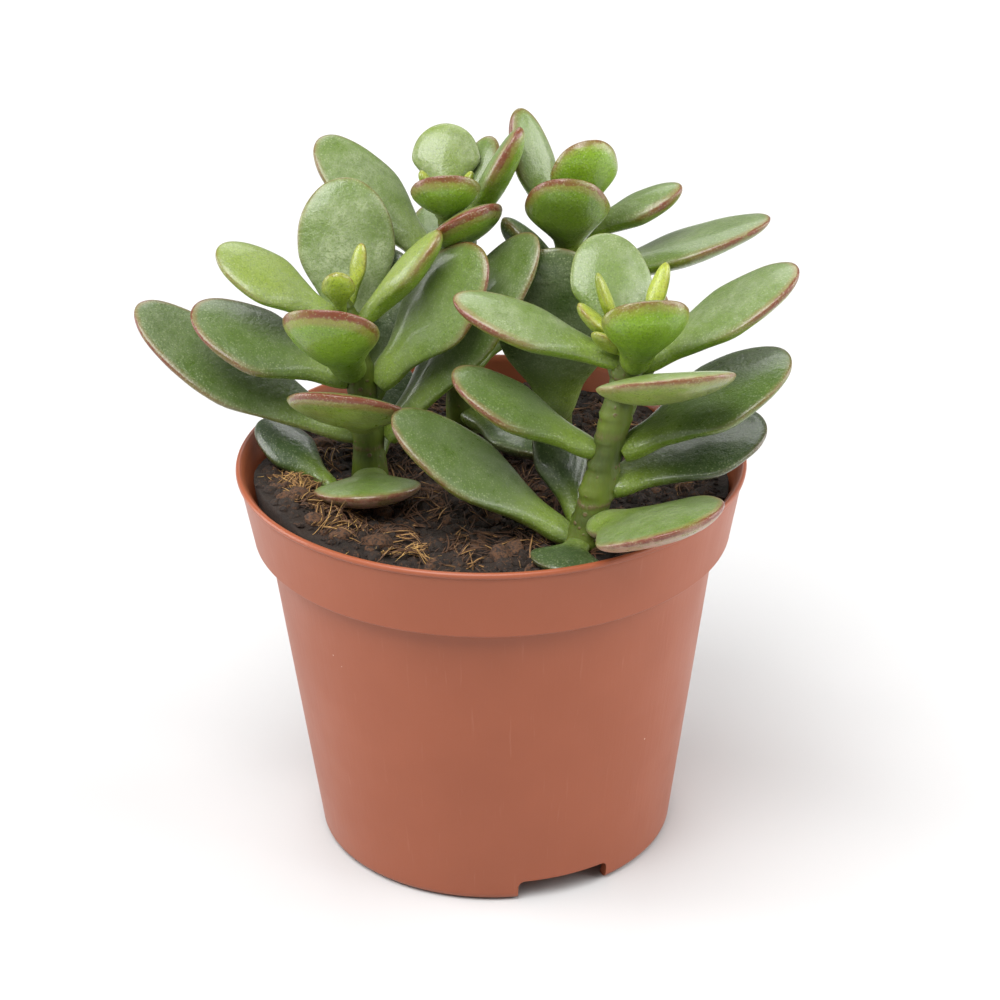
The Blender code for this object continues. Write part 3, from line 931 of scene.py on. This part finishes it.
def pot_profile():
    """From the middle of the floor inside, up the wall, over the lip and down to the foot ring."""
    look = bpy.context.scene.jade_pot
    rim, top, wall = POT_RADIUS, POT_HIGH.z, look.wall
    collar_top, collar_foot, body_top = rim - 0.55 * MM, rim - 2.7 * MM, rim - 5.2 * MM
    shoulder = top - look.collar
    foot, round_foot, ring = FOOT_RADIUS, 1.5 * MM, 1.1 * MM
    floor_low, floor_high = POT_FLOOR
    slope = (body_top - foot) / (shoulder - round_foot)

    def inside(z):
        return foot + slope * (z - round_foot) - wall

    lip = look.lip / 2
    points = [(0.0, floor_high), (inside(floor_high) - 1.5 * MM, floor_high)]
    points += rounding((inside(floor_high) - 1.5 * MM, floor_high + 1.5 * MM), 1.5 * MM, -80, -10, 4)
    step_up = shoulder + wall
    points += [(inside(z), z) for z in np.linspace(floor_high + 3 * MM, step_up - 1 * MM, 12)]
    points += rounding((inside(step_up) + 0.8 * MM, step_up - 0.8 * MM), 0.8 * MM, 170, 95, 4)
    points += rounding((collar_foot - wall - 0.8 * MM, step_up + 0.8 * MM), 0.8 * MM, -85, -10, 4)
    points += [(collar_top - wall, top - 2 * lip)]
    points += rounding((rim - lip, top - lip), lip, 115, -65, 12)
    points += rounding((collar_top + 0.25 * MM, top - look.lip - 0.1 * MM), 0.22 * MM, 100, 200, 4)
    points += [(collar_top - 0.15 * MM, top - look.lip - 1.0 * MM)]
    points += rounding((collar_foot - 0.45 * MM, shoulder + 0.45 * MM), 0.45 * MM, 5, -85, 6)
    points += rounding((body_top + 0.35 * MM, shoulder - 0.35 * MM), 0.35 * MM, 95, 175, 4)
    points += [(inside(z) + wall, z) for z in np.linspace(shoulder - 2 * MM, round_foot + 1 * MM, 14)]
    points += rounding((foot - round_foot, round_foot), round_foot, 0, -90, 8)
    points += [(foot - round_foot - ring, 0.0)]
    points += rounding((foot - wall - 0.6 * MM, floor_low - 0.6 * MM), 0.6 * MM, 0, 90, 4)
    return points + [(0.0, floor_low)]


def notch_cutter(index, angle):
    """A block with rounded upper corners, turned to where it passes through the foot ring."""
    look = bpy.context.scene.jade_pot
    bm = bmesh.new()
    bmesh.ops.create_cube(bm, size=1.0)
    bmesh.ops.scale(bm, vec=Vector((9 * MM, look.notch, 7.8 * MM)), verts=bm.verts)
    top = [e for e in bm.edges if all(v.co.z > 0 for v in e.verts)]
    upper = [e for e in top if abs(e.verts[0].co.y - e.verts[1].co.y) < 1e-6]
    bmesh.ops.bevel(bm, geom=upper, offset=1.2 * MM, segments=5, affect="EDGES", profile=0.5)
    bmesh.ops.translate(bm, vec=(FOOT_RADIUS, 0, 0), verts=bm.verts)
    turn = Matrix.Rotation(math.radians(angle), 3, "Z")
    bmesh.ops.rotate(bm, cent=(0, 0, 0), matrix=turn, verts=bm.verts)
    bmesh.ops.recalc_face_normals(bm, faces=bm.faces)
    return cutter(f"notch_cutter_{index}", bm)


def drain_cutter(index, holes):
    radius, out = 3.5 * MM, 20 * MM
    angle = 2 * math.pi * (index + 0.5) / holes
    place = (out * math.cos(angle), out * math.sin(angle), sum(POT_FLOOR) / 2)
    bm = bmesh.new()
    ends = {"radius1": radius, "radius2": radius, "cap_ends": True}
    bmesh.ops.create_cone(bm, segments=28, depth=4 * MM, **ends)
    bmesh.ops.translate(bm, vec=place, verts=bm.verts)
    return cutter(f"drain_cutter_{index}", bm)


def cutter(name, bm):
    bmesh.ops.translate(bm, vec=AXIS, verts=bm.verts)
    mesh = bpy.data.meshes.new(name)
    bm.to_mesh(mesh)
    bm.free()
    return put(name, mesh)


def make_pot():
    pot = turned("pot_shell", pot_profile(), 180)
    holes = 8
    cutters = [notch_cutter(i, angle) for i, angle in enumerate((-68.0, 112.0))]
    cutters += [drain_cutter(i, holes) for i in range(holes)]
    for one in cutters:
        modifier = pot.modifiers.new(one.name, "BOOLEAN")
        modifier.operation = "DIFFERENCE"
        modifier.object = one
        modifier.solver = "EXACT"
    settle(pot)
    for one in cutters:
        bpy.data.objects.remove(one, do_unlink=True)
    pot.data.materials.clear()
    pot.data.materials.append(pot_material())
    pot.data.shade_smooth()
    sharpen(pot.data, 38)
    hand_over(pot, "pot", "pot")
    return pot


def sharpen(mesh, degrees):
    """Marks edges that turn by more than this as sharp, so that the rest shades smoothly."""
    bm = bmesh.new()
    bm.from_mesh(mesh)
    for edge in bm.edges:
        edge.smooth = len(edge.link_faces) == 2 and edge.calc_face_angle(0.0) < math.radians(degrees)
    bm.to_mesh(mesh)
    bm.free()


def soil_height(x, y):
    """The soil's top: nearly level, heaped against the rim at the left, and lumpy."""
    radius = np.hypot(x, y)
    left = np.exp(-((np.degrees(np.arctan2(y, -x)) + 24) / 26) ** 2)
    heap = 4.4 * MM * left * smooth_step((radius / MM - 24) / 14)
    front = np.exp(-((np.degrees(np.arctan2(x, -y)) + 15) / 40) ** 2)
    heap = heap + 1.5 * MM * front * smooth_step((radius / MM - 30) / 10)
    waves = np.sin(x * 420 + 1.3 * np.sin(y * 310)) * np.sin(y * 380 + 0.9 * np.sin(x * 270 + 1))
    small = np.sin(x * 1300 + 2 * np.sin(y * 900)) * np.sin(y * 1150 + 1.7 * np.sin(x * 1000))
    return SOIL_HIGH.z + heap + 0.45 * MM * waves + 0.25 * MM * small


def make_soil(material):
    """The root ball: a lumpy top, and sides that follow the pot down to its floor."""
    rings, sides = 70, 180
    edge = SOIL_RADIUS + 0.2 * MM
    points = [(0.0, 0.0, float(soil_height(0.0, 0.0)))]
    around = 2 * math.pi * np.arange(sides) / sides
    for i in range(1, rings + 1):
        radius = edge * i / rings
        x, y = radius * np.cos(around), radius * np.sin(around)
        points.extend(np.stack([x, y, soil_height(x, y)], axis=1))
    below = [(edge - 1.2 * MM, 61.5), (edge - 3.4 * MM, 60.3), (31.0 * MM, 5.6)]
    for radius, height in below:
        level = np.full(sides, height * MM)
        points.extend(np.stack([radius * np.cos(around), radius * np.sin(around), level], axis=1))
    points.append((0.0, 0.0, 5.6 * MM))
    obj = object_from("soil_bed", on_axis(points), capped_rings(points, rings + len(below), sides))
    face_outwards(obj.data)
    obj.data.materials.append(material)
    hand_over(obj, "soil", "soil")
    return obj


def strewing_ground(name, spots, margin):
    """The soil's top alone, with how thickly it is covered: everywhere a little, and more at the spots.

    Each spot is (x, y, radius, cover) in millimetres, and nothing is strewn within the margin of the wall.
    """
    count = 60
    edge = SOIL_RADIUS - margin * MM
    line = np.linspace(-edge, edge, count)
    x, y = np.meshgrid(line, line, indexing="ij")
    inside = np.hypot(x, y) < edge
    cover = np.where(inside, spots[0], 0.0)
    for spot_x, spot_y, radius, more in spots[1]:
        cover = cover + inside * more * np.exp(-(np.hypot(x / MM - spot_x, y / MM - spot_y) / radius) ** 2)
    points = np.stack([x, y, soil_height(x, y)], axis=2).reshape(-1, 3)
    faces = []
    for i in range(count - 1):
        for j in range(count - 1):
            corner = i * count + j
            if inside[i : i + 2, j : j + 2].all():
                faces.append((corner, corner + count, corner + count + 1, corner + 1))
    obj = object_from(name, on_axis(points), faces)
    set_numbers(obj.data, "cover", cover.ravel())
    return obj


def strew(name, cover, margin, tree, **values):
    """A piece made of what the tree strews over the soil."""
    ground = strewing_ground(name, cover, margin)
    run_tree(ground, tree, **values)
    hand_over(ground, "soil")


# ---------------- operators


class JADE_OT_pot(bpy.types.Operator):
    """Turns the pot, cuts its notches and drain holes and gives it its plastic"""

    bl_idname = "jade.pot"
    bl_label = "Pot"

    def execute(self, context):
        make_pot()
        return {"FINISHED"}


class JADE_OT_soil(bpy.types.Operator):
    """Fills the pot with peat"""

    bl_idname = "jade.soil"
    bl_label = "Soil"

    def execute(self, context):
        make_soil(soil_material("peat", 0.0))
        return {"FINISHED"}


class JADE_OT_crumbs(bpy.types.Operator):
    """Strews crumbs of peat and bark over the soil"""

    bl_idname = "jade.crumbs"
    bl_label = "Crumbs"

    def execute(self, context):
        look = context.scene.jade_soil
        tree = crumb_tree()
        kinds = [
            # name, material, its pale share, (cover everywhere, spots), then in millimetres
            # margin, smallest and largest, and last the share, 100 of which is the setting's count
            ("peat_crumbs", "peat_crumb", 0.16, (1.0, []), 0.3, 0.35, 1.5, 60.0),
            ("bark_chips", "bark_chip", 0.3, (1.0, BARK_SPOTS), 1.6, 1.0, 2.6, 3.5),
            ("peat_grains", "peat_grain", 0.16, (1.0, []), 0.3, 0.35, 1.5, 40.0),
        ]
        for i, (name, stuff, pale, cover, margin, smallest, largest, share) in enumerate(kinds):
            values = {"smallest": smallest * MM, "largest": largest * MM, "density": look.crumbs * share}
            values["material"] = soil_material(stuff, pale)
            strew(name, cover, margin, tree, seed=look.seed + i, **values)
        return {"FINISHED"}


class JADE_OT_fibres(bpy.types.Operator):
    """Lays coir fibres over the soil, most of them at the left and the front"""

    bl_idname = "jade.fibres"
    bl_label = "Coir Fibres"

    def execute(self, context):
        look = context.scene.jade_soil
        tree = fibre_tree()
        root, coir, gold, rust = look.root, look.coir, (0.55, 0.33, 0.1), (0.09, 0.038, 0.015)
        kinds = [
            # name, colours, (cover everywhere, spots), then in millimetres margin, thickness and
            # longest, and last the rise and the share, 1 of which is the setting's count
            ("dark_fibres", (root, rust), (1.0, ROOT_SPOTS), 4.0, 0.12, 8, 0.3, 3.4),
            ("rust_fibres", (rust, coir), (0.5, RUST_SPOTS), 3.5, 0.1, 7, 0.4, 2.2),
            ("short_fibres", (rust, root), (1.0, []), 1.8, 0.1, 3.4, 0.5, 5.0),
            ("coir_fibres", (coir, rust), (0.2, COIR_SPOTS), 3.8, 0.08, 9, 0.35, 1.3),
            ("coir_tufts", (gold, coir), (0.0, COIR_TUFTS), 2.2, 0.07, 6, 0.7, 2.6),
        ]
        for name, colours, cover, margin, thickness, longest, rise, share in kinds:
            values = {"longest": longest * MM, "shortest": longest * 0.3 * MM, "thickness": thickness * MM}
            values["material"] = coir_material(name, *colours)
            density = look.fibres * 100.0 * share
            strew(name, cover, margin, tree, density=density, rise=rise, seed=look.seed, **values)
        return {"FINISHED"}


class JADE_OT_stems(bpy.types.Operator):
    """Grows the four stems over their CAD solids"""

    bl_idname = "jade.stems"
    bl_label = "Stems"

    def execute(self, context):
        tree = skin_tree()
        material = stem_material()
        for stem in STEMS:
            make_stem(stem, material, tree)
        return {"FINISHED"}


class JADE_OT_leaves(bpy.types.Operator):
    """Grows every leaf's skin over its CAD solid"""

    bl_idname = "jade.leaves"
    bl_label = "Leaves"

    def execute(self, context):
        tree = skin_tree()
        material = leaf_material()
        names = [name for name in sorted(frame["nodes"]) if "_leaf_" in name]
        for number, name in enumerate(names):
            make_leaf(name, number, material, tree)
        return {"FINISHED"}


class JADE_OT_studio(bpy.types.Operator):
    """Lays the floor, hangs the lights and sets up the camera"""

    bl_idname = "jade.studio"
    bl_label = "Studio"

    def execute(self, context):
        look = context.scene.jade_studio
        half, drop = 3.0, 0.2 * MM
        corners = [(-half, -half, 0), (half, -half, 0), (half, half, 0), (-half, half, 0)]
        floor = object_from("studio_floor", corners, [(0, 1, 2, 3)])
        floor.location.z = -drop
        floor.data.materials.append(floor_material())
        area_light("overhead", (-0.2, -0.4, 0.9), 0.65, look.overhead)
        area_light("front_right", (0.6, -0.25, 0.5), 0.4, look.side * 0.8)
        area_light("back", (0.0, 0.6, 0.7), 0.5, look.side * 0.8)
        area_light("side_left", (-0.65, 0.12, 0.25), 0.4, look.side)
        area_light("side_right", (0.65, 0.12, 0.25), 0.4, look.side)
        world = bpy.data.worlds.new("studio_white")
        world.use_nodes = True
        wire(world.node_tree.nodes["Background"], {"Color": (1.0,) * 4, "Strength": look.fill})
        context.scene.world = world
        context.scene.view_settings.view_transform = "Standard"
        make_camera()
        return {"FINISHED"}


def area_light(name, place, size, power):
    """A square light that hangs at the place, counted from the pot's foot, and shines on the leaves."""
    data = bpy.data.lights.new(name, "AREA")
    data.size = size
    data.energy = power
    light = put(name, data)
    light.location = AXIS + Vector(place)
    aim = AXIS + Vector((0, 0, 70 * MM)) - light.location
    light.rotation_euler = aim.to_track_quat("-Z", "Y").to_euler()
    return light


def make_camera():
    """A long lens, a little above the plant and looking down on it."""
    data = bpy.data.cameras.new("camera")
    data.lens = 118.8
    data.sensor_width = 36.0
    camera = put("camera", data)
    camera.location = AXIS + Vector((0.0, -0.525, 0.323))
    down, yaw, roll = 26.31, -0.16, -0.76
    turns = zip((yaw, 90 - down, roll), "ZXZ")
    matrices = [Matrix.Rotation(math.radians(angle), 3, axis) for angle, axis in turns]
    camera.rotation_euler = (matrices[0] @ matrices[1] @ matrices[2]).to_euler()
    bpy.context.scene.camera = camera


class JADE_PT_panel(bpy.types.Panel):
    """The plant's settings and the steps that build it"""

    bl_label = "Jade Plant"
    bl_idname = "JADE_PT_panel"
    bl_space_type = "VIEW_3D"
    bl_region_type = "UI"
    bl_category = "Jade Plant"

    def draw(self, context):
        for name in SETTINGS:
            box = self.layout.box()
            box.label(text=name.replace("_", " ").title())
            group = getattr(context.scene, name)
            for key in group.__annotations__:
                box.prop(group, key)
        for operator in OPERATORS:
            self.layout.operator(operator.bl_idname)


SETTINGS = {
    "jade_leaf": JadeLeafSettings,
    "jade_stem": JadeStemSettings,
    "jade_pot": JadePotSettings,
    "jade_soil": JadeSoilSettings,
    "jade_studio": JadeStudioSettings,
}
OPERATORS = (
    JADE_OT_pot,
    JADE_OT_soil,
    JADE_OT_crumbs,
    JADE_OT_fibres,
    JADE_OT_stems,
    JADE_OT_leaves,
    JADE_OT_studio,
)


def register():
    for name, group in SETTINGS.items():
        bpy.utils.register_class(group)
        setattr(bpy.types.Scene, name, PointerProperty(type=group))
    for operator in OPERATORS:
        bpy.utils.register_class(operator)
    bpy.utils.register_class(JADE_PT_panel)


def unregister():
    bpy.utils.unregister_class(JADE_PT_panel)
    for operator in reversed(OPERATORS):
        bpy.utils.unregister_class(operator)
    for name, group in SETTINGS.items():
        delattr(bpy.types.Scene, name)
        bpy.utils.unregister_class(group)


def main():
    register()
    bpy.ops.jade.pot()
    bpy.ops.jade.soil()
    bpy.ops.jade.crumbs()
    bpy.ops.jade.fibres()
    bpy.ops.jade.stems()
    bpy.ops.jade.leaves()
    bpy.ops.jade.studio()
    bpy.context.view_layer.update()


if __name__ == "__main__":
    main()
